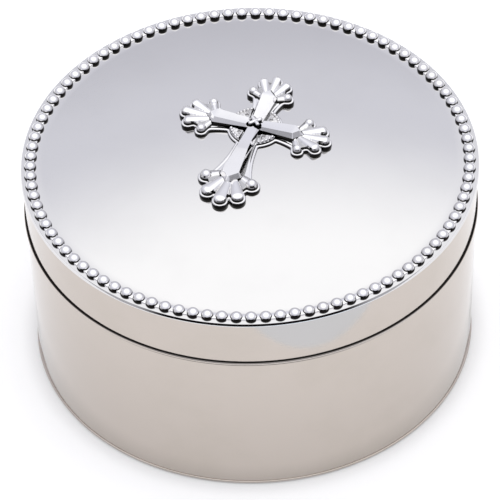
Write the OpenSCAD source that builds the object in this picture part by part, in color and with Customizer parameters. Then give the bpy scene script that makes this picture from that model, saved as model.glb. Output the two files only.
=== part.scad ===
// Round plated keepsake box for a rosary: a plain tapered cup and a deep lid that lifts straight off
// over a collar. The lid has a low dome, a beaded border and an applied cross in two tiers.
// Millimetres. Origin on the surface the box stands on, under its middle; +Z up.
// The head of the cross points along +Y.

/* [Box] */
// Outer radius of the wall at the foot
foot_r = 49.4; // [44:0.2:56]
// Draft of the wall and of the lid's side, in degrees
draft = 1.25; // [0:0.25:2]
// Height from the foot flange's underside to the lid's flat margin
box_h = 51.5; // [46:0.5:70]
// Thickness of the sheet that the wall is made of
wall_t = 1.0; // [0.8:0.1:1.5]
// Thickness of the bottom plate's sheet
base_t = 0.6; // [0.5:0.1:1]
// How far the bottom plate's edge stands out past the wall
foot_lip = 0.25; // [0.1:0.05:0.4]

/* [Collar] */
// Thickness of the collar
collar_t = 0.8; // [0.6:0.1:1.2]
// Height of the collar above the seam
collar_up = 6; // [4:0.5:8]
// Depth of the collar below the seam
collar_down = 8; // [5:0.5:12]
// Gap all round between the collar and the lid's side
lid_fit = 0.25; // [0.15:0.05:0.4]

/* [Base felt] */
// Thickness of the felt under the box
felt_t = 1.2; // [1:0.1:1.5]
// How far the felt stands below the foot flange
felt_proud = 0.3; // [0.1:0.1:0.5]
// Width of the foot flange around the felt
flange_w = 3.2; // [2.5:0.1:5]

/* [Lining] */
// Thickness of the card behind the lining
card_t = 0.8; // [0.6:0.1:1.2]
// Thickness of the velvet on the wall card
velvet_t = 1.0; // [0.8:0.1:1.5]
// Thickness of the floor card
floor_card_t = 1.2; // [0.8:0.1:2]
// Height of the floor pad at its edge
pad_edge = 2.2; // [1.6:0.1:3]
// How far the floor pad's crown rises above its edge
pad_crown = 1.5; // [0.5:0.1:2.5]
// Gap between the floor pad and the wall lining
pad_gap = 0.2; // [0.1:0.1:0.5]

/* [Lid] */
// Height of the lid's side, from the seam to the flat margin
lid_side = 12.9; // [12:0.1:20]
// Thickness of the lid's side
side_t = 1.0; // [0.8:0.1:1.2]
// Thickness of the lid's top
top_t = 0.8; // [0.6:0.1:1.2]
// How far the margin stands out past the lid's side
margin_out = 0.3; // [0.1:0.05:0.8]
// Rise of the dome above the flat margin
dome_rise = 3.5; // [2:0.25:6]
// Height of the half-round moulding at the seam
lip_h = 0.9; // [0.6:0.1:1.4]
// Thickness of the card under the lid's top
lid_card_t = 1.2; // [0.8:0.1:1.6]
// Height of the lid pad at its edge
lid_pad_edge = 1.6; // [1.2:0.1:2]
// How far the lid pad's crown hangs below its edge
lid_pad_crown = 0.9; // [0.4:0.1:1.2]

/* [Beads] */
// Number of beads in the border
bead_count = 97; // [60:1:110]
// Radius of one bead
bead_r = 1.4; // [1:0.1:1.6]
// Width of the flat edge outside the beads
bead_edge = 0.75; // [0.4:0.05:1.5]
// Turn of the first bead from +X, in degrees
bead_turn = 3.2; // [0:0.1:3.7]
// Thickness of the strip that joins the beads
bead_strip_t = 0.35; // [0.2:0.05:0.6]

/* [Cross] */
// Sideways place of the crossing
cross_x = -0.9; // [-1.5:0.1:1.5]
// Distance of the crossing from the lid's middle, towards the head
cross_y = 6.7; // [4:0.1:8]
// Thickness of the lower tier over the top of the dome
plate_t = 0.5; // [0.4:0.1:1.2]
// Distance from the crossing to the root of the foot's shell
foot_root = 15.4; // [14:0.1:17]
// Distance from the crossing to the roots of the shells at the sides
side_root = 9; // [8.5:0.1:11]
// Distance from the crossing to the root of the head's shell
head_root = 8.6; // [8.2:0.1:10]
// Length of the foot's shell, from its root to its middle tip
foot_shell = 10.7; // [9:0.1:11]
// Length of the shells at the sides
side_shell = 8.8; // [7:0.1:9.5]
// Length of the head's shell
head_shell = 8.2; // [7:0.1:9]
// Half width of an arm at its narrowest
neck = 2.5; // [2.2:0.1:3]
// Radius of the corner fans
fan_r = 6.3; // [5.5:0.1:7]
// Height of the bevelled bars above the lower tier
bar_h = 1.9; // [1.2:0.1:2.4]
// Width of the bevel along the bars
bevel = 0.75; // [0.5:0.05:0.9]
// Distance from the crossing to the shoulder of the long bar
long_bar = 17; // [15:0.1:18]
// Distance from the crossing to the shoulders of the short bars
short_bar = 9.4; // [8.5:0.1:10]
// Radius of the studs that hold the cross
stud_r = 0.9; // [0.7:0.1:1.2]
// Gap all round the studs in the lid's top
stud_gap = 0.1; // [0.05:0.05:0.2]

/* [Hidden] */
$fn = 96;
dome_steps = 16; // rings that the dome is turned in
eps = 0.02;      // thickness of the slice that ends a bevelled bar
bar_side = 0.4;  // height of the upright sides of a bar below its bevel
roll_steps = 8;  // points along the rolled side of a pad
crown_steps = 8; // points along the crown of a pad

// Levels of the box, from the surface up
flange_z = felt_proud;
wall_z = flange_z + base_t;
plate_z = felt_t + base_t;
rim_z = flange_z + box_h;
seam_z = rim_z - lid_side;
collar_z = seam_z + collar_up;
margin_z = rim_z - top_t;

// Outer radius of the tapered wall at a height, measured from the foot flange's underside
function wall_r(z) = foot_r + (z - flange_z) * tan(draft);

// The collar fits the wall below the seam and clears the lid's side above it
collar_out = wall_r(seam_z) - side_t - lid_fit;
collar_foot_z = seam_z - collar_down;
collar_in = min(collar_out, wall_r(collar_foot_z) - wall_t) - collar_t;
felt_r = foot_r - flange_w;

// The lining stands inside the collar
lining_r = collar_in;
lining_top = collar_z - 0.2;
velvet_in = lining_r - card_t - velvet_t;
pad_r = velvet_in - pad_gap;
pad_z = plate_z + floor_card_t;

// Lid
margin_r = wall_r(rim_z) + margin_out;
bead_ring = margin_r - bead_edge - bead_r;
dome_r = bead_ring - bead_r - 0.4;
dome_ball = (dome_r * dome_r + dome_rise * dome_rise) / (2 * dome_rise);
dome_mid = rim_z + dome_rise - dome_ball;

// Points of the dome's profile from its middle outwards, on the outside or a sheet's thickness in
function dome_profile(inwards, reach) = [
    for (i = [0:dome_steps]) let (r = reach * i / dome_steps)
        [r, dome_mid + sqrt(pow(dome_ball - inwards, 2) - r * r)]
];
function back(points) = [for (i = [len(points) - 1:-1:0]) points[i]];
lid_card_r = wall_r(margin_z - lid_card_t) - side_t - 0.1;
lid_pad_z = margin_z - lid_card_t;
lid_pad_r = lid_card_r - 0.2;

// Flat top of the cross's lower tier, on which all the rest of the cross stands
tier_z = rim_z + dome_rise + plate_t;

// Cross. Each shell has five ribs: angle from the arm and length as a share of the middle rib
RIBS = [[-63, 0.73], [-26, 0.91], [0, 1], [26, 0.91], [63, 0.73]];
// Each arm: turn from the head, root of its shell, length of its shell, shoulder of its bar
ARMS = [
    [0, head_root, head_shell, short_bar],
    [90, side_root, side_shell, short_bar],
    [180, foot_root, foot_shell, long_bar],
    [270, side_root, side_shell, short_bar],
];
rib_r = 0.175;        // radius of a rib's end in the lower tier, as a share of its shell's length
web_share = 0.7;      // how far out the web between the ribs reaches, as a share of their length
tier_step = 0.5;      // how far each tier is set in from the one below
tier_t = 0.5;         // thickness of the upper tier under the ridges
ridge_t = 0.55;       // height of the ridges above the upper tier
ridge_root = 0.2;     // half width of a ridge at its root and at its end, as a share of its rib's end
ridge_end = 0.5;
knob_share = 0.72;    // radius of a knob as a share of its rib's end
bar_gap = 0.08;       // gap between the bars and the pieces let in around them
flare_steps = 8;      // points along one side of a flared arm
bar_root = 1.3;       // half width of a bar at the crossing
bar_flare = 0.075;    // how much a bar's half width grows for each millimetre
bar_tip = 0.95;       // length of a bar's pointed end as a share of its width there
fan_t = 0.6;          // thickness of the corner fans
fan_gap = 0.25;       // gap between a fan and the bars beside it
fan_beads = 5;        // beads along the edge of one fan
fan_bead_r = 0.36;
pit_r = 0.35;         // radius of the pit near each fan's corner
pit_in = 0.8;         // place of the pit, in from the fan's two straight sides
boss_reach = 1.2;     // distance of the knot's four ends from the crossing
boss_w = 0.9;
boss_up = 0.4;        // how far the knot stands above the bars
upper_stud = 5;       // distance of the studs from the crossing
lower_stud = 12;
studs_y = [cross_y + upper_stud, cross_y - lower_stud];
nut_r = 2.2;
nut_t = 0.9;
stud_end = 0.5;       // how far a stud comes out of its nut

module ring(z0, z1, out0, out1, in0, in1) {
    rotate_extrude() polygon([[in0, z0], [out0, z0], [out1, z1], [in1, z1]]);
}

// Body of the box

module base_felt() {
    color("#2f4f3f") cylinder(r = felt_r - 0.2, h = felt_t);
}

module base_plate() {
    edge = foot_r + foot_lip - base_t / 2;
    color("#c9c8c6") rotate_extrude() {
        translate([0, felt_t]) square([felt_r + base_t, base_t]);
        translate([felt_r, flange_z]) square([base_t, plate_z - flange_z]);
        translate([felt_r, flange_z]) square([edge - felt_r, base_t]);
        translate([edge, flange_z + base_t / 2]) circle(d = base_t);
    }
}

module body_wall() {
    color("#c8c2ba")
        ring(wall_z, seam_z, wall_r(wall_z), wall_r(seam_z), wall_r(wall_z) - wall_t, wall_r(seam_z) - wall_t);
}

module collar() {
    low_in = wall_r(collar_foot_z) - wall_t;
    high_in = wall_r(seam_z) - wall_t;
    color("#b9b5ae") rotate_extrude() polygon([
        [collar_in, collar_foot_z], [low_in, collar_foot_z], [high_in, seam_z],
        [collar_out, seam_z], [collar_out, collar_z], [collar_in, collar_z],
    ]);
}

module wall_card() {
    color("#cbb994")
        ring(wall_z, lining_top - velvet_t, lining_r, lining_r, lining_r - card_t, lining_r - card_t);
}

module wall_velvet() {
    color("#1c2a5a") rotate_extrude() {
        translate([velvet_in, plate_z]) square([velvet_t, lining_top - velvet_t - plate_z]);
        translate([velvet_in, lining_top - velvet_t]) intersection() {
            square([lining_r - velvet_in, velvet_t]);
            union() {
                translate([velvet_t, 0]) square([card_t, velvet_t]);
                translate([velvet_t, 0]) circle(r = velvet_t);
            }
        }
    }
}

module floor_card() {
    color("#cbb994") translate([0, 0, plate_z]) cylinder(r = pad_r, h = floor_card_t);
}

// Round pad with rolled sides: flat underneath, full at the edge and crowned over the middle
module pad(r, edge, crown) {
    flat_r = r - edge / 2;
    rotate_extrude() polygon(concat(
        [[0, 0]],
        [for (i = [0:roll_steps]) let (a = -90 + 180 * i / roll_steps)
            [flat_r + edge / 2 * cos(a), edge / 2 + edge / 2 * sin(a)]],
        [for (i = [crown_steps - 1:-1:0]) let (x = i / crown_steps)
            [flat_r * x, edge + crown * (1 - x * x)]]
    ));
}

module floor_pad() {
    color("#1c2a5a") translate([0, 0, pad_z]) pad(pad_r, pad_edge, pad_crown);
}

// Lid

module lid_skirt() {
    color("#c8c2ba")
        ring(seam_z, margin_z, wall_r(seam_z), wall_r(margin_z), wall_r(seam_z) - side_t, wall_r(margin_z) - side_t);
}

module lip_ring() {
    color("#dcdad6") rotate_extrude() difference() {
        translate([wall_r(seam_z + lip_h / 2), seam_z + lip_h / 2]) circle(d = lip_h, $fn = 48);
        polygon([
            [wall_r(seam_z) - lip_h, seam_z - lip_h], [wall_r(seam_z - lip_h), seam_z - lip_h],
            [wall_r(seam_z + 2 * lip_h), seam_z + 2 * lip_h], [wall_r(seam_z) - lip_h, seam_z + 2 * lip_h],
        ]);
    }
}

module lid_top() {
    // where the hollow under the dome meets the flat underside
    hollow_r = sqrt(pow(dome_ball - top_t, 2) - pow(margin_z - dome_mid, 2));
    color("#cdced6") difference() {
        rotate_extrude() polygon(concat(
            dome_profile(0, dome_r),
            [[margin_r, rim_z], [margin_r, margin_z]],
            back(dome_profile(top_t, hollow_r))
        ));
        for (y = studs_y) translate([cross_x, y, 0]) cylinder(r = stud_r + stud_gap, h = 2 * rim_z, $fn = 48);
    }
}

module bead() {
    rotate_extrude($fn = 48) intersection() {
        circle(r = bead_r);
        square(bead_r);
    }
}

module bead_border() {
    strip_w = bead_r * 1.2;
    color("#e4e4e6") {
        ring(
            rim_z, rim_z + bead_strip_t,
            bead_ring + strip_w / 2, bead_ring + strip_w / 2, bead_ring - strip_w / 2, bead_ring - strip_w / 2
        );
        for (i = [0:bead_count - 1]) rotate(bead_turn + i * 360 / bead_count)
            translate([bead_ring, 0, rim_z]) bead();
    }
}

module lid_card() {
    color("#cbb994") translate([0, 0, lid_pad_z]) cylinder(r = lid_card_r, h = lid_card_t);
}

module lid_pad() {
    color("#1c2a5a") translate([0, 0, lid_pad_z]) mirror([0, 0, 1]) pad(lid_pad_r, lid_pad_edge, lid_pad_crown);
}

// Cross

// Everything on the cross is drawn at its own place on the lid
module on_lid() {
    translate([cross_x, cross_y, 0]) children();
}

module dome() {
    rotate_extrude() polygon(concat(dome_profile(0, dome_r), [[dome_r, margin_z / 2], [0, margin_z / 2]]));
}

module rib_outline(shell, share, trim) {
    reach = shell * share;
    end = shell * rib_r;
    polygon([[-end / 3, 0], [end / 3, 0], [end - trim, reach - end], [trim - end, reach - end]]);
    translate([0, reach - end]) circle(r = end - trim, $fn = 32);
}

// The web that joins the ribs of a shell
module web_outline(shell, share) {
    polygon(concat([[0, 0]], [for (rib = RIBS) shell * rib[1] * share * [-sin(rib[0]), cos(rib[0])]]));
}

module shell_outline(shell) {
    for (rib = RIBS) rotate(rib[0]) rib_outline(shell, rib[1], 0);
    web_outline(shell, web_share);
}

// One arm with hollow curved sides, from the crossing to the middle of its shell
module arm_outline(root, shell) {
    end = root + shell * 0.3;
    wide = shell * 0.55;
    polygon(concat(
        [for (i = [0:flare_steps]) [neck + (wide - neck) * pow(i / flare_steps, 3), end * i / flare_steps]],
        [for (i = [flare_steps:-1:0]) [-neck - (wide - neck) * pow(i / flare_steps, 3), end * i / flare_steps]]
    ));
}

module cross_outline() {
    circle(r = fan_r);
    for (arm = ARMS) rotate(arm[0]) {
        arm_outline(arm[1], arm[2]);
        translate([0, arm[1]]) shell_outline(arm[2]);
    }
}

module cross_plate() {
    color("#d2d3d8") difference() {
        on_lid() translate([0, 0, rim_z]) linear_extrude(height = tier_z - rim_z) cross_outline();
        dome();
    }
}

module shell_tier(shell) {
    for (rib = RIBS) rotate(rib[0]) rib_outline(shell, rib[1], tier_step);
    web_outline(shell, web_share - tier_step / shell);
}

// Raised ridges that widen from the root of the shell
module ridges(shell) {
    end = shell * rib_r;
    for (rib = RIBS) rotate(rib[0])
        polygon([
            [-end * ridge_root, 0], [end * ridge_root, 0],
            [end * ridge_end, shell * rib[1] - end], [-end * ridge_end, shell * rib[1] - end]
        ]);
}

// Half-round knob in which each ridge ends
module knob(r) {
    rotate_extrude($fn = 32) intersection() {
        circle(r = r);
        square(r);
    }
}

module cross_shells() {
    color("#e0e1e6") difference() {
        on_lid() for (arm = ARMS) rotate(arm[0]) translate([0, arm[1], tier_z]) {
            linear_extrude(height = tier_t) shell_tier(arm[2]);
            linear_extrude(height = tier_t + ridge_t) ridges(arm[2]);
            for (rib = RIBS) rotate(rib[0]) translate([0, arm[2] * (rib[1] - rib_r), tier_t])
                knob(arm[2] * rib_r * knob_share);
        }
        on_lid() for (arm = ARMS) rotate(arm[0])
            linear_extrude(height = 2 * rim_z) bar_outline(arm[3], -bar_gap);
    }
}

// Half width of a bar at a distance from the crossing
function bar_w(s) = bar_root + bar_flare * s;

module bar_outline(shoulder, inset) {
    wide = bar_w(shoulder);
    polygon([
        [inset - bar_root, 0], [bar_root - inset, 0], [wide - inset, shoulder],
        [0, shoulder + wide * bar_tip - inset], [inset - wide, shoulder],
    ]);
}

module bar(shoulder) {
    hull() {
        translate([0, 0, tier_z]) linear_extrude(height = bar_side) bar_outline(shoulder, 0);
        translate([0, 0, tier_z + bar_h - eps]) linear_extrude(height = eps) bar_outline(shoulder, bevel);
    }
}

module boss_outline(grow) {
    for (turn = [45, 135]) rotate(turn) {
        square([2 * boss_reach, boss_w + 2 * grow], center = true);
        for (side = [-1, 1]) translate([side * boss_reach, 0]) circle(d = boss_w + 2 * grow, $fn = 24);
    }
}

module cross_bars() {
    color("#e6e7ea") difference() {
        on_lid() for (arm = ARMS) rotate(arm[0]) bar(arm[3]);
        on_lid() linear_extrude(height = 2 * rim_z) boss_outline(bar_gap);
    }
}

module fan_bead() {
    rotate_extrude($fn = 24) intersection() {
        circle(r = fan_bead_r);
        square(fan_bead_r);
    }
}

module fan_blank() {
    low = bar_w(fan_r) + fan_gap;
    intersection() {
        circle(r = fan_r - tier_step);
        translate([low, low]) square(fan_r);
    }
}

module cross_fans() {
    low = bar_w(fan_r) + fan_gap;
    bead_at = fan_r - tier_step - fan_bead_r - 0.05;
    from = asin((low + fan_bead_r + 0.05) / bead_at);
    step = (90 - 2 * from) / (fan_beads - 1);
    color("#d8d9de") on_lid() for (turn = [0:90:270]) rotate(turn) translate([0, 0, tier_z]) {
        linear_extrude(height = fan_t) difference() {
            fan_blank();
            translate([low + pit_in, low + pit_in]) circle(r = pit_r, $fn = 24);
        }
        for (i = [0:fan_beads - 1]) rotate(from + i * step) translate([bead_at, 0, fan_t]) fan_bead();
    }
}

module cross_boss() {
    color("#d0d1d6") on_lid() translate([0, 0, tier_z])
        linear_extrude(height = bar_h + boss_up) boss_outline(0);
}

// Underside of the dome's sheet over the outer edge of a nut
function nut_top(y) = dome_mid + sqrt(pow(dome_ball - top_t, 2) - pow(norm([cross_x, y]) + nut_r, 2));

module cross_studs() {
    color("#b0a070") intersection() {
        for (y = studs_y) translate([cross_x, y, nut_top(y) - nut_t - stud_end])
            cylinder(r = stud_r, h = 2 * dome_rise, $fn = 48);
        dome();
    }
}

module stud_nuts() {
    color("#b0a070") for (y = studs_y) translate([cross_x, y, nut_top(y) - nut_t]) difference() {
        cylinder(r = nut_r, h = nut_t, $fn = 6);
        translate([0, 0, -nut_t]) cylinder(r = stud_r, h = 3 * nut_t, $fn = 48);
    }
}

base_felt();
base_plate();
body_wall();
collar();
wall_card();
wall_velvet();
floor_card();
floor_pad();
lid_skirt();
lip_ring();
lid_top();
bead_border();
lid_card();
lid_pad();
cross_plate();
cross_shells();
cross_bars();
cross_fans();
cross_boss();
cross_studs();
stud_nuts();
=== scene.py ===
import math

import bmesh
import bpy
import numpy as np
from mathutils import Matrix, Vector, noise
from mathutils.geometry import delaunay_2d_cdt


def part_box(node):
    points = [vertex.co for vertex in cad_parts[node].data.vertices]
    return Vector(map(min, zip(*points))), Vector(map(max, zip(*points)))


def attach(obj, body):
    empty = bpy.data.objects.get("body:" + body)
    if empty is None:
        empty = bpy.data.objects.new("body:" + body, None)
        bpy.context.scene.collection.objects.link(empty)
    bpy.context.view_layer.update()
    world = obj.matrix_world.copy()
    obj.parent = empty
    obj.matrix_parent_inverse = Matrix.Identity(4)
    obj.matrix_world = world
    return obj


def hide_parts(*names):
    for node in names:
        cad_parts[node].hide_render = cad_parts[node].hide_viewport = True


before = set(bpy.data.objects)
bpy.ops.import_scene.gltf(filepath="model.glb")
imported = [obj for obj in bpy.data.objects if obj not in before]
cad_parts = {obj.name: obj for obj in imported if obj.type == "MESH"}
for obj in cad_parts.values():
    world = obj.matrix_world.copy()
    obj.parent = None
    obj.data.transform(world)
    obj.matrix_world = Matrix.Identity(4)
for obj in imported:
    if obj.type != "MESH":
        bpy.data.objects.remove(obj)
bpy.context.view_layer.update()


# Lid top
# A disc of brass sheet, spun to a low dome inside a flat margin and silver plated. Its polished
# coat keeps hair-fine wiping marks and a faint bloom that dulls it here and there.

MM = 0.001
TURNS = 384


class Value:
    """A number in a shader, so that a material reads as a formula."""

    def __init__(self, graph, socket):
        self.graph = graph
        self.socket = socket

    def __add__(self, other):
        return self.graph.math("ADD", self, other)

    def __sub__(self, other):
        return self.graph.math("SUBTRACT", self, other)

    def __rsub__(self, other):
        return self.graph.math("SUBTRACT", other, self)

    def __mul__(self, other):
        return self.graph.math("MULTIPLY", self, other)

    def __pow__(self, other):
        return self.graph.math("POWER", self, other)

    __radd__ = __add__
    __rmul__ = __mul__


class Graph:
    """Adds nodes to a material or a world."""

    def __init__(self, tree):
        self.tree = tree
        tree.nodes.clear()

    def node(self, kind, inputs=(), **settings):
        made = self.tree.nodes.new(kind)
        for name, value in settings.items():
            setattr(made, name, value)
        for key, value in dict(inputs).items():
            self.feed(made.inputs[key], value)
        return made

    def feed(self, socket, value):
        if isinstance(value, Value):
            self.tree.links.new(value.socket, socket)
        elif isinstance(value, bpy.types.NodeSocket):
            self.tree.links.new(value, socket)
        else:
            socket.default_value = value

    def math(self, operation, *values):
        made = self.node("ShaderNodeMath", enumerate(values), operation=operation)
        return Value(self, made.outputs[0])

    def step(self, value, low, high):
        """Rises smoothly from 0 to 1 while the value goes from low to high."""
        made = self.node(
            "ShaderNodeMapRange", {"Value": value, "From Min": low, "From Max": high},
            interpolation_type="SMOOTHSTEP",
        )
        return Value(self, made.outputs["Result"])

    def mix(self, factor, a, b):
        made = self.node("ShaderNodeMix", {"Factor": factor, 6: a, 7: b}, data_type="RGBA")
        return made.outputs[2]

    def noise(self, coords, scale, detail=3.0, roughness=0.55):
        made = self.node(
            "ShaderNodeTexNoise",
            {"Vector": coords, "Scale": scale, "Detail": detail, "Roughness": roughness},
        )
        return Value(self, made.outputs["Fac"])

    def stretched(self, coords, scale):
        return self.node("ShaderNodeMapping", {"Vector": coords, "Scale": scale}).outputs[0]

    def bump(self, height, strength, distance):
        made = self.node(
            "ShaderNodeBump", {"Height": height, "Strength": strength, "Distance": distance}
        )
        return made.outputs["Normal"]


def material(name):
    made = bpy.data.materials.new(name)
    made.use_nodes = True
    graph = Graph(made.node_tree)
    coords = graph.node("ShaderNodeTexCoord").outputs["Object"]
    shader = graph.node("ShaderNodeBsdfPrincipled")
    graph.node("ShaderNodeOutputMaterial", {"Surface": shader.outputs[0]})
    return made, graph, coords, shader


def silver_plate(name, bright, bloom, rough, haze, grain):
    """A polished coat: bright and bloom are its two colours, haze how much duller the bloom is.

    grain is the depth of the wiping marks. Where a mesh has a blackening value, the metal is black:
    oxide in hollows, and painted shade in corners, gaps, sides and the lower parts of beads.
    """
    made, graph, coords, shader = material(name)
    cloud = graph.noise(coords, 70, 4)
    wipes = graph.noise(graph.stretched(coords, (900, 160, 400)), 4, 2)
    specks = graph.noise(coords, 2600, 1)
    coat = graph.mix(graph.step(cloud, 0.42, 0.75) * 0.5, bright, bloom)
    # Black from the mesh: oxide in hollows and painted shade elsewhere.
    oxide_and_shade = graph.node("ShaderNodeAttribute", attribute_name="oxide_and_shade").outputs["Fac"]
    graph.feed(shader.inputs["Base Color"], graph.mix(oxide_and_shade, coat, (0.012, 0.011, 0.01, 1)))
    dull = graph.step(cloud, 0.5, 0.8) + graph.step(wipes, 0.55, 0.8) * 0.6
    graph.feed(shader.inputs["Roughness"], dull * haze + rough)
    marks = graph.bump(wipes * 0.7 + specks * 0.3, strength=grain, distance=0.02 * MM)
    graph.feed(shader.inputs["Normal"], marks)
    shader.inputs["Metallic"].default_value = 1.0
    return made


def piece(name, shape, body, mat, node, crease=30):
    """Makes an object of a bmesh and puts it in the place of a node of the construction."""
    mesh = bpy.data.meshes.new(name)
    shape.to_mesh(mesh)
    shape.free()
    mesh.shade_smooth()
    mesh.set_sharp_from_angle(angle=math.radians(crease))
    made = bpy.data.objects.new(name, mesh)
    bpy.context.scene.collection.objects.link(made)
    mesh.materials.append(mat)
    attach(made, body)
    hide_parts(node)
    return made


def rounded(corners, steps=5):
    """A closed outline of (r, z, fillet) corners, each turned by its own fillet radius."""
    points = []
    for i, (r, z, fillet) in enumerate(corners):
        here = Vector((r, z))
        if not fillet:
            points.append((r, z))
            continue
        before = Vector(corners[i - 1][:2]) - here
        after = Vector(corners[(i + 1) % len(corners)][:2]) - here
        half = before.angle(after) / 2
        reach = min(fillet / math.tan(half), before.length * 0.49, after.length * 0.49)
        middle = (before.normalized() + after.normalized()).normalized() * (reach / math.cos(half))
        start = before.normalized() * reach - middle
        sweep = start.angle_signed(after.normalized() * reach - middle)
        for k in range(steps + 1):
            arm = start.copy()
            arm.rotate(Matrix.Rotation(-sweep * k / steps, 2))
            points.append(tuple(here + middle + arm))
    return points


def spun(shape, outline, closed=True):
    """Turns an outline of (r, z) points round the vertical axis."""
    verts = [shape.verts.new((r, 0, z)) for r, z in outline]
    edges = [shape.edges.new(pair) for pair in zip(verts, verts[1:])]
    if closed:
        edges.append(shape.edges.new((verts[-1], verts[0])))
    bmesh.ops.spin(
        shape, geom=verts + edges, cent=(0, 0, 0), axis=(0, 0, 1), angle=math.tau, steps=TURNS,
        use_merge=True,
    )
    bmesh.ops.remove_doubles(shape, verts=shape.verts, dist=MM / 1000)
    bmesh.ops.recalc_face_normals(shape, faces=shape.faces)


margin_under, dome_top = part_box("lid_top")[0].z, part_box("lid_top")[1].z
margin_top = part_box("bead_border")[0].z
rim_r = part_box("lid_top")[1].x
sheet_t = margin_top - margin_under
bead_r = 1.4 * MM
outer_margin = 0.75 * MM
inner_margin = 0.4 * MM
bead_ring = rim_r - bead_r - outer_margin
dome_r = bead_ring - bead_r - inner_margin
dome_rise = dome_top - margin_top
dome_ball = (dome_r ** 2 + dome_rise ** 2) / (2 * dome_rise)
silver_lid = silver_plate(
    "silver_lid", (0.68, 0.67, 0.67, 1), (0.65, 0.64, 0.64, 1), rough=0.06, haze=0.04, grain=0.12
)


def dome_z(r, inwards=0.0):
    """Height of the dome's outside at a distance from its middle, or of its inside."""
    return dome_top - dome_ball + np.sqrt((dome_ball - inwards) ** 2 - r * r)


def lid_top():
    steps = 40
    bevel_in, bevel_down = 0.24 * MM, 0.52 * MM
    hollow_r = math.sqrt((dome_ball - sheet_t) ** 2 - (margin_under - dome_top + dome_ball) ** 2)
    outside = [(r, dome_z(r)) for r in np.linspace(0, dome_r, steps)]
    inside = [(r, dome_z(r, sheet_t)) for r in np.linspace(hollow_r, 0, steps)]
    edge = rounded([
        (dome_r + 1 * MM, margin_top, 0), (rim_r - bevel_in, margin_top, 0.08 * MM),
        (rim_r, margin_top - bevel_down, 0.08 * MM), (rim_r, margin_under, 0.1 * MM),
        (hollow_r + 1 * MM, margin_under, 0),
    ])
    shape = bmesh.new()
    spun(shape, outside + edge + inside, closed=False)
    piece("lid_top_plate", shape, "lid", silver_lid, "lid_top")


lid_top()


# Bead border
# A strip of brass struck with half-round beads, bent to a ring, soldered on the flat margin of
# the lid and plated with it. Its silver is painted brighter than the lid's, as a painted highlight,
# and the lower part of each bead is painted black, as painted shade and a painted dark reflection.

bead_count = 97
first_bead = math.radians(3.2)
strip_t = 0.35 * MM
# Share of each bead's height, from its foot, painted black as painted shade and reflection.
painted_dark_share = 0.42
# The lid's plating, painted brighter as a painted highlight.
silver_beads_painted_bright = silver_plate(
    "silver_beads_painted_bright", (0.84, 0.83, 0.84, 1), (0.72, 0.7, 0.69, 1), rough=0.03, haze=0.03, grain=0.1
)


def bead_border():
    shape = bmesh.new()
    oxide_and_shade = shape.verts.layers.float.new("oxide_and_shade")
    half_w = bead_r * 0.6
    strip_top = margin_top + strip_t
    spun(shape, rounded([
        (bead_ring - half_w, margin_top, 0), (bead_ring + half_w, margin_top, 0),
        (bead_ring + half_w, strip_top, 0.1 * MM), (bead_ring - half_w, strip_top, 0.1 * MM),
    ], 2))
    first = Matrix.Rotation(first_bead, 4, "Z") @ Matrix.Translation((bead_ring, 0, margin_top))
    ball = bmesh.ops.create_uvsphere(
        shape, u_segments=28, v_segments=18, radius=bead_r, matrix=first
    )["verts"]
    faces = list({face for vert in ball for face in vert.link_faces})
    edges = list({edge for face in faces for edge in face.edges})
    cut = bmesh.ops.bisect_plane(
        shape, geom=ball + edges + faces, plane_co=(0, 0, margin_top), plane_no=(0, 0, 1),
        clear_inner=True,
    )["geom_cut"]
    rim_edges = [x for x in cut if isinstance(x, bmesh.types.BMEdge)]
    top = max((v for v in shape.verts), key=lambda v: v.co.z)
    bmesh.ops.edgenet_fill(shape, edges=rim_edges)
    bead = {top}
    grown = [top]
    while grown:
        grown = [
            edge.other_vert(vert) for vert in grown for edge in vert.link_edges
            if edge.other_vert(vert) not in bead
        ]
        bead.update(grown)
    # The lower part of each bead is painted black: painted shade and reflection.
    for vert in bead:
        vert[oxide_and_shade] = float(vert.co.z < margin_top + bead_r * painted_dark_share)
    faces = list({face for vert in bead for face in vert.link_faces})
    edges = list({edge for vert in bead for edge in vert.link_edges})
    bmesh.ops.spin(
        shape, geom=list(bead) + edges + faces, cent=(0, 0, 0), axis=(0, 0, 1),
        angle=math.tau * (bead_count - 1) / bead_count, steps=bead_count - 1, use_duplicate=True,
    )
    bmesh.ops.recalc_face_normals(shape, faces=shape.faces)
    piece("bead_ring", shape, "lid", silver_beads_painted_bright, "bead_border")


bead_border()


# Lid side
# A strip of plated sheet bent to a slightly tapered ring and soldered under the margin. It
# mirrors the table, and its silver is also painted darker and warmer than the top's, as a painted
# reflection of a warm table.

# The lid's plating painted darker and warmer, as a painted reflection; the lip, the box side and
# the bottom share it.
silver_side_painted_reflection = silver_plate(
    "silver_side_painted_reflection", (0.54, 0.485, 0.44, 1), (0.5, 0.45, 0.4, 1), rough=0.06, haze=0.06, grain=0.22
)
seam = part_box("lid_skirt")[0].z
side_t = 1 * MM
draft = math.tan(math.radians(1.25))


def side_r(z):
    """Outer radius of the tapered side at a height, on the lid and on the box alike."""
    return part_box("lid_skirt")[1].x - (margin_under - z) * draft


def lid_side():
    flat_from = seam + 0.4 * MM
    shape = bmesh.new()
    spun(shape, rounded([
        (side_r(seam) - side_t, seam, 0.1 * MM), (side_r(seam), seam, 0.15 * MM),
        (side_r(flat_from), flat_from, 0), (side_r(margin_under), margin_under, 0),
        (side_r(margin_under) - side_t, margin_under, 0),
    ]))
    piece("lid_side", shape, "lid", silver_side_painted_reflection, "lid_skirt")


lid_side()


# Lip moulding
# A half-round wire soldered round the lower edge of the lid, which stiffens it and hides the
# joint with the box. Its upper corner is painted black, as painted shade in the crease under the
# side.

lip_h = 0.9 * MM
unshaded_share = 0.87


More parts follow.
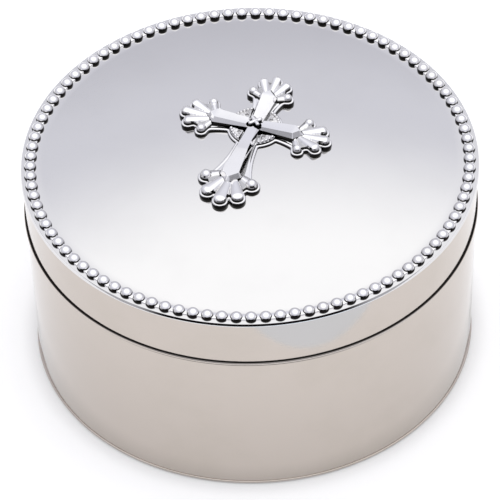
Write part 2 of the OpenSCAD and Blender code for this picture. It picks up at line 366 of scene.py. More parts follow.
def paint_shade(shape, where):
    """Paints black, as painted shade, the part of a piece for which a test of a point's place is
    true.
    """
    oxide_and_shade = shape.verts.layers.float.new("oxide_and_shade")
    for vert in shape.verts:
        vert[oxide_and_shade] = float(where(vert.co))


def lip_moulding():
    lift = lip_h / 2
    arc = [
        (lift * math.cos(a), seam + lift + lift * math.sin(a))
        for a in np.linspace(-math.pi / 2, math.pi / 2, 19)
    ]
    shape = bmesh.new()
    spun(shape, [(side_r(z) + out, z) for out, z in arc])
    # The upper corner of the wire is painted black, as painted shade.
    paint_shade(shape, lambda co: co.z > seam + lip_h * unshaded_share)
    piece("lip_moulding", shape, "lid", silver_side_painted_reflection, "lip_ring")


lip_moulding()


# Box side
# The tapered wall of the box, of the same plated sheet as the side of the lid. Its upper edge is
# rounded over, and painted black where it lies close under the moulding, as painted shade in the
# gap.

def box_side():
    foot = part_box("body_wall")[0].z
    black, shade_foot = seam - 0.3 * MM, seam - 0.36 * MM
    shape = bmesh.new()
    spun(shape, rounded([
        (side_r(foot) - side_t, foot, 0), (side_r(foot), foot, 0.1 * MM), (side_r(shade_foot), shade_foot, 0),
        (side_r(black), black, 0), (side_r(seam), seam, 0.15 * MM),
        (side_r(seam) - side_t, seam, 0.1 * MM),
    ]))
    # The band under the moulding is painted black, as painted shade.
    paint_shade(shape, lambda co: co.z > shade_foot + 0.01 * MM)
    piece("box_side", shape, "box", silver_side_painted_reflection, "body_wall")


box_side()


# Bottom plate
# The bottom, pressed up in the middle to take the felt. Its edge stands a little way out under
# the wall, to which it is soldered, and shows as a thin bright line.

def bottom_plate():
    low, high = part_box("base_plate")
    plate_t = 0.6 * MM
    felt_gap = 0.2 * MM
    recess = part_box("base_felt")[1].x + felt_gap
    shape = bmesh.new()
    spun(shape, rounded([
        (0, high.z - plate_t, 0), (recess, high.z - plate_t, 0), (recess, low.z, 0.15 * MM),
        (high.x, low.z, 0.3 * MM), (high.x, low.z + plate_t, 0.3 * MM),
        (recess + plate_t, low.z + plate_t, 0), (recess + plate_t, high.z, 0.2 * MM),
        (0, high.z, 0),
    ]), closed=False)
    piece("bottom_plate", shape, "box", silver_side_painted_reflection, "base_plate")


bottom_plate()


# Collar
# The ring soldered inside the wall that stands up in the mouth of the box. The lid slips over
# it, and its plating is dull because nothing polishes it.

silver_dull = silver_plate(
    "silver_dull", (0.68, 0.65, 0.6, 1), (0.55, 0.5, 0.42, 1), rough=0.2, haze=0.1, grain=0.4
)


def collar():
    low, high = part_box("collar")
    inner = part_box("wall_card")[1].x
    slip_gap = 0.25 * MM
    outer = side_r(seam) - side_t - slip_gap
    shape = bmesh.new()
    spun(shape, rounded([
        (inner, low.z, 0.2 * MM), (side_r(low.z) - side_t, low.z, 0.05 * MM),
        (side_r(seam) - side_t, seam, 0.05 * MM), (outer, seam, 0),
        (outer, high.z, 0.35 * MM), (inner, high.z, 0.25 * MM),
    ]))
    piece("collar_ring", shape, "box", silver_dull, "collar")


collar()


# Cross, lower tier
# A flat plate cut out with flared arms and scalloped ends, cast in brass, plated, and fixed on
# the dome. The sizes below are in millimetres and stand for the cross's own frame, which has
# the crossing at its origin and the head along +Y.

CROSSING = Vector((-0.9, 6.7))
# Angle of each rib of a shell and its share of the shell's length.
RIBS = ((-63, 0.73), (-26, 0.91), (0, 1.0), (26, 0.91), (63, 0.73))
# Turn of each arm, its length up to the shell, the shell's length, and the bar's to its shoulder.
ARMS = ((0, 8.6, 8.2, 9.4), (90, 9.0, 8.8, 9.4), (180, 15.4, 10.7, 17.0), (270, 9.0, 8.8, 9.4))
NECK = 2.5
FAN_R = 6.3
TIER_STEP = 0.5
FILLET = 0.25
RIB_END = 0.175
WEB_REACH = 0.8
FRAME_BOX = (-19.5, -27.5, 19.5, 18.5)
plate_top = (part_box("cross_plate")[1].z - margin_top) / MM
silver_cast = silver_plate(
    "silver_cast", (0.82, 0.81, 0.82, 1), (0.64, 0.62, 0.6, 1), rough=0.05, haze=0.06, grain=0.2
)


def place(x, y, z):
    return Vector(((x + CROSSING.x) * MM, (y + CROSSING.y) * MM, margin_top + z * MM))


def seen_from(x, y, degrees):
    """A point in the frame of an arm or a rib that is turned by an angle."""
    a = math.radians(degrees)
    return x * math.cos(a) + y * math.sin(a), y * math.cos(a) - x * math.sin(a)


def rib_field(x, y, reach, wide_0, wide_1):
    """Distance to a round-ended bar along +Y that grows from one half width to the other."""
    t = np.clip(y / reach, 0, 1)
    return np.hypot(x, y - t * reach) - (wide_0 + (wide_1 - wide_0) * t)


def polygon_field(x, y, points):
    """Distance to the sides of a polygon, below zero inside it."""
    nearest = np.full(np.shape(x), 1e9)
    inside = np.zeros(np.shape(x), bool)
    for (ax, ay), (bx, by) in zip(points, points[1:] + points[:1]):
        ex, ey, wx, wy = bx - ax, by - ay, x - ax, y - ay
        t = np.clip((wx * ex + wy * ey) / (ex * ex + ey * ey), 0, 1)
        nearest = np.minimum(nearest, np.hypot(wx - t * ex, wy - t * ey))
        if by != ay:
            inside ^= ((ay > y) != (by > y)) & (x < ax + (y - ay) * ex / (by - ay))
    return np.where(inside, -nearest, nearest)


def blended(a, b, width):
    """Both shapes together, with a small fillet where they meet."""
    h = np.clip(0.5 + 0.5 * (b - a) / width, 0, 1)
    return b * (1 - h) + a * h - width * h * (1 - h)


def shell_field(x, y, shell, inset):
    """One shell from its root: five round-ended ribs joined by a web."""
    end = shell * RIB_END
    web = [(0.0, 0.0)]
    for a, s in RIBS:
        reach, turn = shell * WEB_REACH * s, math.radians(a)
        web.append((-reach * math.sin(turn), reach * math.cos(turn)))
    field = polygon_field(x, y, web) + inset
    for a, s in RIBS:
        rx, ry = seen_from(x, y, a)
        field = blended(field, rib_field(rx, ry, shell * s - end, end / 3, end - inset), 0.2)
    return field


def plate_field(x, y):
    field = np.hypot(x, y) - FAN_R
    for turn, root, shell, _ in ARMS:
        ax, ay = seen_from(x, y, turn)
        end, wide = root + shell * 0.3, shell * 0.55
        side = [(NECK + (wide - NECK) * t ** 3, end * t) for t in np.linspace(0, 1, 13)]
        flare = side + [(-w, h) for w, h in side[::-1]]
        field = blended(field, polygon_field(ax, ay, flare), FILLET)
        field = blended(field, shell_field(ax, ay - root, shell, 0), FILLET)
    return field


def contour(field, xs, ys):
    """Closed loops on which a field is zero, by marching squares."""
    f = np.where(np.abs(field) < 1e-9, 1e-9, field)
    points, links, loops = {}, {}, []

    def cut(a, b):
        key = (*min(a, b), *max(a, b))
        i, j, i2, j2 = key
        t = f[j, i] / (f[j, i] - f[j2, i2])
        points[key] = (xs[i] + t * (xs[i2] - xs[i]), ys[j] + t * (ys[j2] - ys[j]))
        return key

    inside = f < 0
    mixed = (
        (inside[:-1, :-1] != inside[:-1, 1:]) | (inside[:-1, :-1] != inside[1:, :-1])
        | (inside[:-1, :-1] != inside[1:, 1:])
    )
    for j, i in zip(*np.nonzero(mixed)):
        corners = [(i, j), (i + 1, j), (i + 1, j + 1), (i, j + 1)]
        cuts = [
            (cut(a, b), inside[a[1], a[0]]) for a, b in zip(corners, corners[1:] + corners[:1])
            if inside[a[1], a[0]] != inside[b[1], b[0]]
        ]
        if len(cuts) == 4 and inside[j, i]:
            cuts = cuts[1:] + cuts[:1]
        for (p, p_inside), (q, _) in zip(cuts[::2], cuts[1::2]):
            links.update({q: p} if p_inside else {p: q})
    while links:
        start, here = links.popitem()
        loop = [start]
        while here != start:
            loop.append(here)
            here = links.pop(here)
        loops.append([points[key] for key in loop])
    return loops


def thinned(loop, least):
    """Drops the points of a loop that lie closer together than a length."""
    kept = [loop[0]]
    for point in loop[1:]:
        if math.dist(point, kept[-1]) > least:
            kept.append(point)
    if math.dist(kept[0], kept[-1]) < least:
        kept.pop()
    return kept


def relief(shape, field_of, top_of, under_of, box, cell, insets, inner, oxide_and_shade_of=None):
    """Adds a closed relief: an outline, rows of points at some insets, and a surface over them.

    field_of is below zero inside the outline, and top_of and under_of give the two heights.
    cell is the step at which the outline is traced, and inner the spacing of the points between.
    The blackening function says how black the metal is at a point, as oxide in hollows and painted
    shade; by default only the sides are painted black, as painted shade.
    """
    oxide_and_shade = shape.verts.layers.float.new("oxide_and_shade")
    xs, ys = np.arange(box[0], box[2], cell), np.arange(box[1], box[3], cell)
    field = field_of(*np.meshgrid(xs, ys))
    verts, edges = [], []
    for inset in (0,) + insets:
        row = inset(*np.meshgrid(xs, ys)) if callable(inset) else inset
        for loop in contour(field + row, xs, ys):
            loop = thinned(loop, cell * 0.35)
            if len(loop) > 5:
                first, count = len(verts), len(loop)
                verts += [Vector(p) for p in loop]
                edges += [(first + k, first + (k + 1) % count) for k in range(count)]
        if not inset:
            outline = len(verts)
    gx, gy = np.meshgrid(np.arange(box[0], box[2], inner), np.arange(box[1], box[3], inner))
    gx = gx + (np.arange(len(gx)) % 2)[:, None] * inner / 2
    last = insets[-1](gx, gy) if callable(insets[-1]) else insets[-1]
    within = field_of(gx, gy) < -last - inner * 0.3
    verts += [Vector(p) for p in zip(gx[within], gy[within])]
    flat, _, faces, origins, _, _ = delaunay_2d_cdt(verts, edges, [], 1, 1e-6)
    px, py = (np.array([v[axis] for v in flat]) for axis in (0, 1))
    depth = np.maximum(-field_of(px, py), 0)
    depth[[any(o < outline for o in group) for group in origins]] = 0
    top = [shape.verts.new(place(*p)) for p in zip(px, py, top_of(px, py, depth))]
    # Black is oxide in hollows and painted shade on the sides and in creases.
    black = oxide_and_shade_of(px, py, depth) if oxide_and_shade_of else depth == 0
    for vert, value in zip(top, black):
        vert[oxide_and_shade] = float(value)
    corners = np.array(faces)
    kept = field_of(px[corners].mean(axis=1), py[corners].mean(axis=1)) < 0.02
    made = [shape.faces.new([top[k] for k in face]) for face, keep in zip(faces, kept) if keep]
    for vert in [v for v in top if not v.link_faces]:
        shape.verts.remove(vert)
    border = list({e for face in made for e in face.edges if e.is_boundary})
    lowered = bmesh.ops.extrude_edge_only(shape, edges=border)["geom"]
    under = [v for v in lowered if isinstance(v, bmesh.types.BMVert)]
    # The sides down to the dome are painted black, as painted shade.
    for v in under:
        x, y = v.co.x / MM - CROSSING.x, v.co.y / MM - CROSSING.y
        v.co = place(x, y, under_of(x, y))
        v[oxide_and_shade] = 1.0
    rim = [e for e in lowered if isinstance(e, bmesh.types.BMEdge) and e.is_boundary]
    bmesh.ops.triangle_fill(shape, use_beauty=True, edges=rim)
    bmesh.ops.recalc_face_normals(shape, faces=shape.faces)


def rounding(depth, radius):
    """How far a rounded edge falls below the top at a distance in from the outline."""
    d = np.clip(depth, 0, radius)
    return radius - np.sqrt(np.maximum(radius ** 2 - (radius - d) ** 2, 0))


def cross_plate():
    shape = bmesh.new()
    # Its sides are painted black, as painted shade.
    relief(
        shape, plate_field,
        lambda x, y, d: plate_top - rounding(d, 0.28) - 0.06 * np.exp(-((d - 0.75) / 0.14) ** 2),
        lambda x, y: (dome_z(math.hypot(x + CROSSING.x, y + CROSSING.y) * MM) - margin_top) / MM,
        box=FRAME_BOX, cell=0.2, insets=(0.03, 0.08, 0.16, 0.28, 0.6, 0.75, 0.9), inner=0.3,
    )
    piece("cross_lower_tier", shape, "lid", silver_cast, "cross_plate", 50)


cross_plate()


# Cross, shell ends
# The upper tier at the four ends: fans of five broad ribs with grooves between them, each rib
# swelling to a rounded knob at its tip.

BAR_ROOT = 1.3
TIER_T = 0.5


def on_plate(x, y):
    """Everything on the lower tier stands on its flat top."""
    return plate_top


def bars_field(x, y, grow=0.0):
    """The four bars, each with a pointed end beyond its shoulder."""
    field = np.full(np.shape(x), 1e9)
    for turn, _, _, shoulder in ARMS:
        ax, ay = seen_from(x, y, turn)
        wide = BAR_ROOT + 0.075 * shoulder
        field = np.minimum(field, polygon_field(ax, ay, [
            (-BAR_ROOT - grow, 0.0), (BAR_ROOT + grow, 0.0), (wide + grow, shoulder + grow * 0.4),
            (0.0, shoulder + wide * 0.95 + grow * 1.2), (-wide - grow, shoulder + grow * 0.4),
        ]))
    return field


def shells_field(x, y):
    field = np.full(np.shape(x), 1e9)
    for turn, root, shell, _ in ARMS:
        ax, ay = seen_from(x, y, turn)
        field = np.minimum(field, shell_field(ax, ay - root, shell, TIER_STEP))
    return np.maximum(field, -bars_field(x, y, 0.08))


def shell_top(x, y, depth):
    """Petals that broaden to a rounded end, between two slimmer ribs that end in a ball."""
    tier = plate_top + TIER_T - 0.12
    height = plate_top + TIER_T - rounding(depth, 0.2)
    for turn, root, shell, _ in ARMS:
        ax, ay = seen_from(x, y, turn)
        end = shell * RIB_END
        cap, ball = end - TIER_STEP, end * 0.68
        for a, s in RIBS:
            rx, ry = seen_from(ax, ay - root, a)
            reach = shell * s - end
            t = np.clip(ry / reach, 0, 1)
            beyond = np.maximum(ry - reach, 0) / cap
            slim = abs(a) > 60
            half = end * (0.2 + (0.3 if slim else 0.72) * t)
            arch = np.sqrt(np.maximum(1 - (rx / half) ** 2 - beyond ** 2, 0))
            rise = np.where(ry > 0, (0.3 + (0.2 if slim else 0.65) * t) * arch, 0)
            if slim:
                knob = np.maximum(ball ** 2 - rx ** 2 - (ry - reach) ** 2, 0)
                rise = np.maximum(rise, np.sqrt(knob))
            height = np.maximum(height, np.where(depth > 0.03, tier + rise, height))
    return height


def shell_oxide_and_shade(x, y, depth):
    """Painted shade along the outline, and oxide with painted shade in the grooves between the
    petals.
    """
    low = plate_top + TIER_T + 0.06 - shell_top(x, y, depth)
    return np.where(depth > 0.03, np.clip(low / 0.12, 0, 1) * 0.75, 1.0)


def cross_shells():
    shape = bmesh.new()
    relief(
        shape, shells_field, shell_top, on_plate, box=FRAME_BOX, cell=0.15, insets=(0.04, 0.1, 0.2),
        inner=0.14, oxide_and_shade_of=shell_oxide_and_shade,
    )
    piece("cross_shell_ends", shape, "lid", silver_cast, "cross_shells", 45)


cross_shells()


# Cross, bars
# Four flat-faced bars that widen to pointed ends and have a bevel all round. They rise a little
# towards the ends, and a knot of two crossed straps covers their joint.

BAR_H = 1.9
BAR_SINK = 0.55
BAR_SINK_R = 9
BAR_SIDE = 0.8
BEVEL_SLOPE = 1.7
BOSS_ARM = 1.2
BOSS_HALF = 0.45


def bar_flat(x, y):
    """Height of a bar's flat face over the plate."""
    return BAR_H - BAR_SINK * np.clip(1 - np.hypot(x, y) / BAR_SINK_R, 0, 1)


def bevel_w(x, y):
    return (bar_flat(x, y) - BAR_SIDE) / BEVEL_SLOPE


def boss_field(x, y, grow=0.0):
    """The two crossed straps of the knot, for which the bars leave room."""
    field = np.full(np.shape(x), 1e9)
    for turn in (45, 135):
        ax, ay = seen_from(x, y, turn)
        strap = np.hypot(ax, ay - np.clip(ay, -BOSS_ARM, BOSS_ARM)) - BOSS_HALF - grow
        field = np.minimum(field, strap)
    return field


def bar_top(x, y, depth):
    return plate_top + np.minimum(BAR_SIDE + depth * BEVEL_SLOPE, bar_flat(x, y))


def cross_bars():
    shape = bmesh.new()
    # Its sides are painted black, as painted shade.
    relief(
        shape, lambda x, y: np.maximum(bars_field(x, y), -boss_field(x, y, 0.08)), bar_top,
        on_plate, box=(-13, -20.5, 13, 13), cell=0.12,
        insets=(0.02, bevel_w, lambda x, y: bevel_w(x, y) + 0.05), inner=0.4,
    )
    piece("cross_bevelled_bars", shape, "lid", silver_cast, "cross_bars", 22)


cross_bars()


# Cross, corner fans
# Four small quarter-round fans let in between the bars, with raised ribs, a row of seed beads
# along the edge and a sunk pit near the corner.

FAN_T = 0.6
FAN_FLOOR = 0.55
FAN_CORNER = 2.02
RIB_PITCH = 22
PIT_IN = 0.8
PIT_R = 0.42
SEED_R = 0.36
SEEDS = 5


def fans_field(x, y):
    field = np.full(np.shape(x), 1e9)
    for turn in (0, 90, 180, 270):
        ax, ay = seen_from(x, y, turn)
        corner = np.maximum(FAN_CORNER - ax, FAN_CORNER - ay)
        field = np.minimum(field, np.maximum(corner, np.hypot(ax, ay) - FAN_R + TIER_STEP))
    return field


def fan_top(x, y, depth):
    """Ribs that spread from the corner, a pit between them, and seed beads along the edge."""
    height = plate_top + FAN_T * FAN_FLOOR - rounding(depth, 0.12)
    seed_ring = FAN_R - TIER_STEP - SEED_R - 0.05
    first = math.degrees(math.asin((FAN_CORNER + SEED_R + 0.05) / seed_ring))
    for turn in (0, 90, 180, 270):
        ax, ay = seen_from(x, y, turn)
        fx, fy = ax - FAN_CORNER, ay - FAN_CORNER
        far, angle = np.hypot(fx, fy), np.degrees(np.arctan2(fy, fx))
        ribs = 0.3 * np.cos(np.radians((angle - 45) * 360 / RIB_PITCH))
        ribs = ribs * np.clip((far - 0.9) / 0.8, 0, 1)
        raised = height + np.where(depth > 0.1, np.maximum(ribs, 0) * 0.8, 0)
        height = np.where((ax > FAN_CORNER) & (ay > FAN_CORNER), raised, height)
        pit = np.hypot(ax - FAN_CORNER - PIT_IN, ay - FAN_CORNER - PIT_IN)
        height = np.where(pit < PIT_R, plate_top + 0.05, height)
        for k in range(SEEDS):
            a = math.radians(first + k * (90 - 2 * first) / (SEEDS - 1))
            out = np.hypot(ax - seed_ring * math.cos(a), ay - seed_ring * math.sin(a))
            seed = plate_top + FAN_T - 0.05 + np.sqrt(np.maximum(SEED_R ** 2 - out ** 2, 0))
            height = np.where((out < SEED_R) & (depth > 0.02), np.maximum(height, seed), height)
    return height


def fan_oxide_and_shade(x, y, depth):
    """Oxide with painted shade in the pits and between the ribs and the seed beads, and painted
    shade along the outline.
    """
    low = plate_top + FAN_T * FAN_FLOOR + 0.08 - fan_top(x, y, depth)
    return np.where(depth > 0.02, np.clip(low / 0.1, 0, 1) * 0.3, 1.0)


def cross_fans():
    shape = bmesh.new()
    relief(
        shape, fans_field, fan_top, on_plate, box=(-6.5, -6.5, 6.5, 6.5), cell=0.1,
        insets=(0.03, 0.06, 0.12), inner=0.085, oxide_and_shade_of=fan_oxide_and_shade,
    )
    piece("cross_corner_fans", shape, "lid", silver_cast, "cross_fans", 50)


cross_fans()


# Cross, knot
# Two short rounded straps, one over the other, cast on the crossing of the bars.

def cross_knot():
    shape = bmesh.new()
    top_z = (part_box("cross_boss")[1].z - margin_top) / MM

    def knot_top(x, y, depth):
        over, _ = seen_from(x, y, 45)
        sunk = 0.12 * np.clip((np.abs(over) - 0.35) / 0.25, 0, 1)
        return top_z - rounding(depth, 0.4) - sunk

    # Its sides are painted black, as painted shade.
    relief(
        shape, boss_field, knot_top, on_plate, box=(-2.5, -2.5, 2.5, 2.5), cell=0.06,
        insets=(0.03, 0.1, 0.2, 0.3), inner=0.1,
    )
    piece("cross_knot", shape, "lid", silver_cast, "cross_boss", 50)


cross_knot()


# Studs and nuts
# Two studs cast on the cross pass through the lid and are held by brass nuts pressed on them
# from inside, under the card.

brass = silver_plate(
    "bare_brass", (0.62, 0.48, 0.24, 1), (0.4, 0.3, 0.16, 1), rough=0.3, haze=0.15, grain=0.5
)


def shown(node, mat):
    """Gives the construction's own piece its material."""
    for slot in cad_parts[node].material_slots:
        slot.material = mat


shown("cross_studs", brass)
shown("stud_nuts", brass)


# Cards
# Grey-brown paperboard that carries the velvet: a disc on the bottom, a strip in the wall and a
# disc in the lid, glued in place.

def paperboard():
    made, graph, coords, shader = material("paperboard")
    fibres = graph.noise(graph.stretched(coords, (2500, 700, 2500)), 1, 4)
    flecks = graph.step(graph.noise(coords, 1500, 2), 0.62, 0.7)
    pulp = graph.mix(fibres, (0.42, 0.34, 0.23, 1), (0.62, 0.53, 0.38, 1))
    graph.feed(shader.inputs["Base Color"], graph.mix(flecks * 0.6, pulp, (0.22, 0.16, 0.1, 1)))
    graph.feed(shader.inputs["Roughness"], fibres * 0.15 + 0.8)
    graph.feed(shader.inputs["Normal"], graph.bump(fibres, strength=0.5, distance=0.05 * MM))
    return made


card = paperboard()
for node in ("wall_card", "floor_card", "lid_card"):
    shown(node, card)


# Velvet wall lining
# A strip of deep blue short-pile velvet glued on the wall card, rolled over its top edge and
# butted at the back. The pile lies unevenly, so it looks darker and lighter in soft patches.

def velvet_cloth():
    made, graph, coords, shader = material("velvet_cloth")
    pile = graph.noise(coords, 4200, 2)
    brushed = graph.noise(graph.stretched(coords, (60, 140, 60)), 1, 3)
    lay = graph.step(brushed, 0.35, 0.7)
    blue = graph.mix(lay, (0.008, 0.013, 0.06, 1), (0.02, 0.035, 0.14, 1))
    tips = graph.step(pile, 0.5, 0.8) * 0.4
    graph.feed(shader.inputs["Base Color"], graph.mix(tips, blue, (0.05, 0.08, 0.25, 1)))
    graph.feed(shader.inputs["Roughness"], pile * 0.1 + 0.85)
    nap = graph.bump(pile + brushed * 0.6, strength=0.6, distance=0.25 * MM)
    graph.feed(shader.inputs["Normal"], nap)
    shader.inputs["Sheen Weight"].default_value = 0.8
    shader.inputs["Sheen Roughness"].default_value = 0.35
    shader.inputs["Sheen Tint"].default_value = (0.35, 0.45, 0.95, 1)
    return made


velvet = velvet_cloth()
pad_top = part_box("floor_pad")[1].z


def wall_velvet():
    low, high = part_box("wall_velvet")
    cloth_t, card_t = 1 * MM, 0.8 * MM
    card_in = high.x - card_t
    inner = card_in - cloth_t
    shape = bmesh.new()
    roll = [
        (card_in - cloth_t * math.cos(a), high.z - cloth_t + cloth_t * math.sin(a))
        for a in np.linspace(0, math.pi / 2, 7)
    ]
    rows = [(inner, z) for z in np.linspace(low.z, high.z - cloth_t, 24)]
    back = [
        (high.x, high.z), (high.x, high.z - cloth_t), (card_in, high.z - cloth_t),
        (card_in, low.z),
    ]
    spun(shape, rows + roll[1:] + back)
    seam_w = 0.6 * MM
    for vert in shape.verts:
        x, y, z = vert.co
        r, a = math.hypot(x, y), math.atan2(y, x)
        if r > card_in - MM / 10 or z < pad_top + MM:
            continue
        waves = noise.noise(Vector((math.cos(a) * 4, math.sin(a) * 4, z / MM / 12)))
        butt = math.exp(-((a - math.pi / 2) * r / seam_w) ** 2)
        r += (0.35 * butt - 0.12 * abs(waves)) * MM
        vert.co = (r * math.cos(a), r * math.sin(a), z)
    made = piece("velvet_lining", shape, "box", velvet, "wall_velvet", 60)


wall_velvet()


# Velvet pads
# The bed in the box and the cushion in the lid: velvet drawn over wadding on a card and turned
# under, so that the edge rolls in small puckers and the middle is softly crowned.

PUCKERS = 64


def pad(name, node, body, edge, up):
    """A pad with a rolled edge of one thickness, whose soft side faces up (1) or down (-1)."""
    low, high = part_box(node)
    thick, reach = high.z - low.z, high.x
    flat_r = reach - edge / 2
    base = low.z if up > 0 else high.z
    roll = [
        (flat_r + edge / 2 * math.cos(a), base + up * edge / 2 * (1 + math.sin(a)))
        for a in np.linspace(-math.pi / 2, math.pi / 2, 13)
    ]
    crown = [
        (flat_r * t, base + up * (edge + (thick - edge) * (1 - t * t)))
        for t in np.linspace(0.97, 0, 36)
    ]
    shape = bmesh.new()
    spun(shape, [(0, base)] + roll + crown, closed=False)
    for vert in shape.verts:
        x, y, z = vert.co
        r, a = math.hypot(x, y), math.atan2(y, x)
        lift = (z - base) * up
        if r < flat_r * 0.3 and lift < edge / 2 or r < MM:
            continue
        near_edge = math.exp(-((reach - r) / (3.5 * MM)) ** 2)
        wobble = noise.noise(Vector((math.cos(a) * 9, math.sin(a) * 9, base * 100)))
        fold = (0.5 + 0.5 * math.cos(PUCKERS * a + 5 * wobble)) ** 2
        pucker = fold * near_edge * min(lift / edge, 1)
        soft = abs(noise.noise(Vector((x, y, 0)) / (14 * MM))) * (1 - near_edge) * lift / thick
        vert.co = (
            x * (1 - 0.004 * pucker), y * (1 - 0.004 * pucker),
            z - up * (0.22 * pucker + 0.5 * soft) * MM,
        )
    made = piece(name, shape, body, velvet, node, 80)


pad("velvet_bed", "floor_pad", "box", 2.2 * MM, 1)
pad("lid_cushion", "lid_pad", "lid", 1.6 * MM, -1)


# Felt
# A disc of dark green wool felt glued in the recess of the bottom, a little proud of the edge so
# that the box stands on it.

def felt_cloth():
    made, graph, coords, shader = material("felt_cloth")
    wool = graph.noise(coords, 1800, 5, 0.7)
    matted = graph.noise(coords, 260, 3)
    green = graph.mix(matted, (0.02, 0.05, 0.03, 1), (0.045, 0.1, 0.06, 1))
    tufts = graph.step(wool, 0.55, 0.75) * 0.5
    graph.feed(shader.inputs["Base Color"], graph.mix(tufts, green, (0.1, 0.17, 0.12, 1)))
    graph.feed(shader.inputs["Roughness"], wool * 0.08 + 0.9)
    nap = graph.bump(wool + matted * 0.5, strength=0.7, distance=0.3 * MM)
    graph.feed(shader.inputs["Normal"], nap)
    shader.inputs["Sheen Weight"].default_value = 0.3
    return made


def base_felt():
    low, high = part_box("base_felt")
    shape = bmesh.new()
    spun(shape, [(0, low.z)] + [(high.x * t, low.z) for t in (0.35, 0.7, 0.9)] + rounded([
        (high.x, low.z, 0.3 * MM), (high.x, high.z, 0.2 * MM), (high.x - MM, high.z, 0),
        (high.x - MM, low.z, 0),
    ], 3)[:-2] + [(0, high.z)], closed=False)
    for vert in shape.verts:
        x, y, z = vert.co
        worn = abs(noise.noise(Vector((x, y, z)) * 900)) * 0.08 * MM
        r = math.hypot(x, y)
        if r > high.x - MM / 2:
            vert.co = (x * (1 - worn / r), y * (1 - worn / r), z)
    made = piece("felt_foot", shape, "box", felt_cloth(), "base_felt", 60)


base_felt()


# Table
# A wide sheet of white paper on a table that ends in front of the box. It keeps the shadow of
# the box, and near the box its colour is also darkened from ambient occlusion, a painted shadow
# darkest close to it. It shows white to the camera and in what the silver mirrors.

CAMERA_TURN = math.radians(19.8)
CAMERA_LIFT = math.radians(43.739)


def staged(name, mat, near, far, turn, lift=0.0, half_w=8):
    """A flat sheet of the set, which lies between two distances behind the box."""
    shape = bmesh.new()
    bmesh.ops.create_grid(shape, x_segments=1, y_segments=1, size=1)
    bmesh.ops.scale(shape, verts=shape.verts, vec=(half_w, (far - near) / 2, 1))
    bmesh.ops.translate(shape, verts=shape.verts, vec=(0, (far + near) / 2, lift))
    bmesh.ops.rotate(shape, verts=shape.verts, cent=(0, 0, 0), matrix=Matrix.Rotation(turn, 3, "Z"))
    mesh = bpy.data.meshes.new(name)
    shape.to_mesh(mesh)
    shape.free()
    made = bpy.data.objects.new(name, mesh)
    bpy.context.scene.collection.objects.link(made)
    mesh.materials.append(mat)
    return made


def table():
    made, graph, _, shader = material("white_paper")
    # Ambient occlusion darkens the paper's colour near the box: a painted shadow.
    clear = graph.node("ShaderNodeAmbientOcclusion", {"Distance": 4.5 * MM}).outputs["AO"]
    paper_and_painted_shadow = graph.mix(clear, (0.45, 0.45, 0.45, 1), (0.92, 0.92, 0.92, 1))
    graph.feed(shader.inputs["Base Color"], paper_and_painted_shadow)
    shader.inputs["Roughness"].default_value = 0.9
    shader.inputs["Specular IOR Level"].default_value = 0.0
    path = graph.node("ShaderNodeLightPath").outputs
    seen = Value(graph, path["Is Camera Ray"])
    for ray in ("Is Glossy Ray", "Is Transmission Ray"):
        seen = graph.math("MAXIMUM", seen, Value(graph, path[ray]))
    glow = graph.mix(seen, (0, 0, 0, 1), (0.23, 0.23, 0.23, 1))
    graph.feed(shader.inputs["Emission Color"], glow)
    shader.inputs["Emission Strength"].default_value = 1.0
    staged("table", made, near=-0.4, far=16, turn=CAMERA_TURN)


table()


# Glowing card
# A card that glows lies on the table in front of the box, outside the picture, and paints the cool
# patch on the side of the lid as a painted reflection. Only what mirrors it shows it.

def reflection_glow_card():
    made, _, _, shader = material("reflection_glow_card")
    shader.inputs["Base Color"].default_value = (0, 0, 0, 1)
    shader.inputs["Specular IOR Level"].default_value = 0.0
    # The card glows though it is no lamp, to paint a reflection.
    shader.inputs["Emission Color"].default_value = (1.07, 1.17, 1.31, 1)
    shader.inputs["Emission Strength"].default_value = 1.0
    card_turn = CAMERA_TURN + math.radians(25)
    card = staged(
        "reflection_glow_card", made, near=-0.12, far=-0.0865, turn=card_turn, lift=0.5 * MM, half_w=0.12
    )
    card.visible_camera = False
    card.visible_diffuse = False
    card.visible_shadow = False


reflection_glow_card()


# Light tent
# White cloth round the table: brightest overhead, cooler and greyer lower down, and open low at
# the front, where the dark room behind the camera shows.

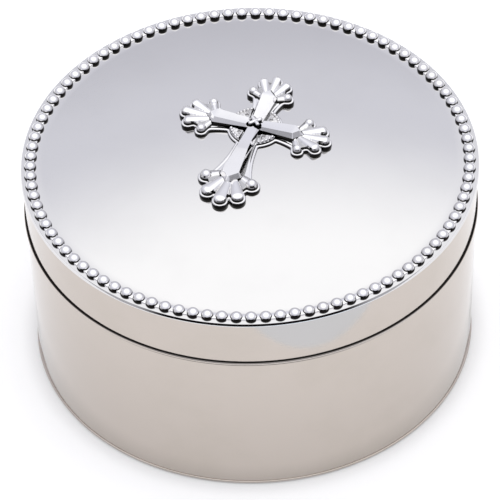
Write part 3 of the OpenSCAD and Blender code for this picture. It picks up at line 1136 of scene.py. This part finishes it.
def tent():
    made = bpy.data.worlds.new("tent")
    bpy.context.scene.world = made
    made.use_nodes = True
    graph = Graph(made.node_tree)
    direction = graph.node("ShaderNodeTexCoord").outputs["Generated"]
    x, y, up = (
        Value(graph, out) for out in graph.node("ShaderNodeSeparateXYZ", {0: direction}).outputs
    )
    level = graph.math("MAXIMUM", x * x + y * y, 0.0001) ** -0.5
    front = (x * math.sin(CAMERA_TURN) - y * math.cos(CAMERA_TURN)) * level
    side = x * math.cos(CAMERA_TURN) + y * math.sin(CAMERA_TURN)
    height = up + side * 0.09
    cloth = graph.mix(graph.step(up, 0.1, 0.4), (0.55, 0.55, 0.58, 1), (0.74, 0.745, 0.82, 1))
    cloth = graph.mix(graph.step(height, 0.42, 0.62), cloth, (0.9, 0.91, 0.99, 1))
    cloth = graph.mix(graph.step(height, 0.62, 0.84), cloth, (1.42, 1.43, 1.44, 1))
    opening = graph.step(front, 0.6, 0.78) * (1 - graph.step(up, 0.18, 0.3))
    cloth = graph.mix(opening, cloth, (0.01, 0.01, 0.01, 1))
    shade = graph.node("ShaderNodeBackground", {"Color": cloth, "Strength": 1.0})
    graph.node("ShaderNodeOutputWorld", {"Surface": shade.outputs[0]})


tent()


# Camera
# A long lens from above the front, at the angle and distance that fit the photograph.

def camera():
    roll, pan, tilt = (math.radians(a) for a in (1.6506, 0.0282, 1.0610))
    distance = 1066.8 * MM
    a, e = CAMERA_TURN, CAMERA_LIFT
    back = Vector((math.sin(a) * math.cos(e), -math.cos(a) * math.cos(e), math.sin(e)))
    right = Vector((math.cos(a), math.sin(a), 0))
    up = back.cross(right)
    tilted = back * math.cos(tilt) + up * math.sin(tilt)
    up = up * math.cos(tilt) - back * math.sin(tilt)
    away = tilted * math.cos(pan) + right * math.sin(pan)
    right = right * math.cos(pan) - tilted * math.sin(pan)
    x = right * math.cos(roll) - up * math.sin(roll)
    y = right * math.sin(roll) + up * math.cos(roll)
    data = bpy.data.cameras.new("camera")
    data.lens = 346.8
    data.sensor_width = 36
    obj = bpy.data.objects.new("camera", data)
    bpy.context.scene.collection.objects.link(obj)
    eye = back * distance + Vector((0, 0, margin_top))
    obj.matrix_world = Matrix.Translation(eye) @ Matrix((x, y, away)).transposed().to_4x4()
    bpy.context.scene.camera = obj


camera()
bpy.context.scene.view_settings.view_transform = "Standard"
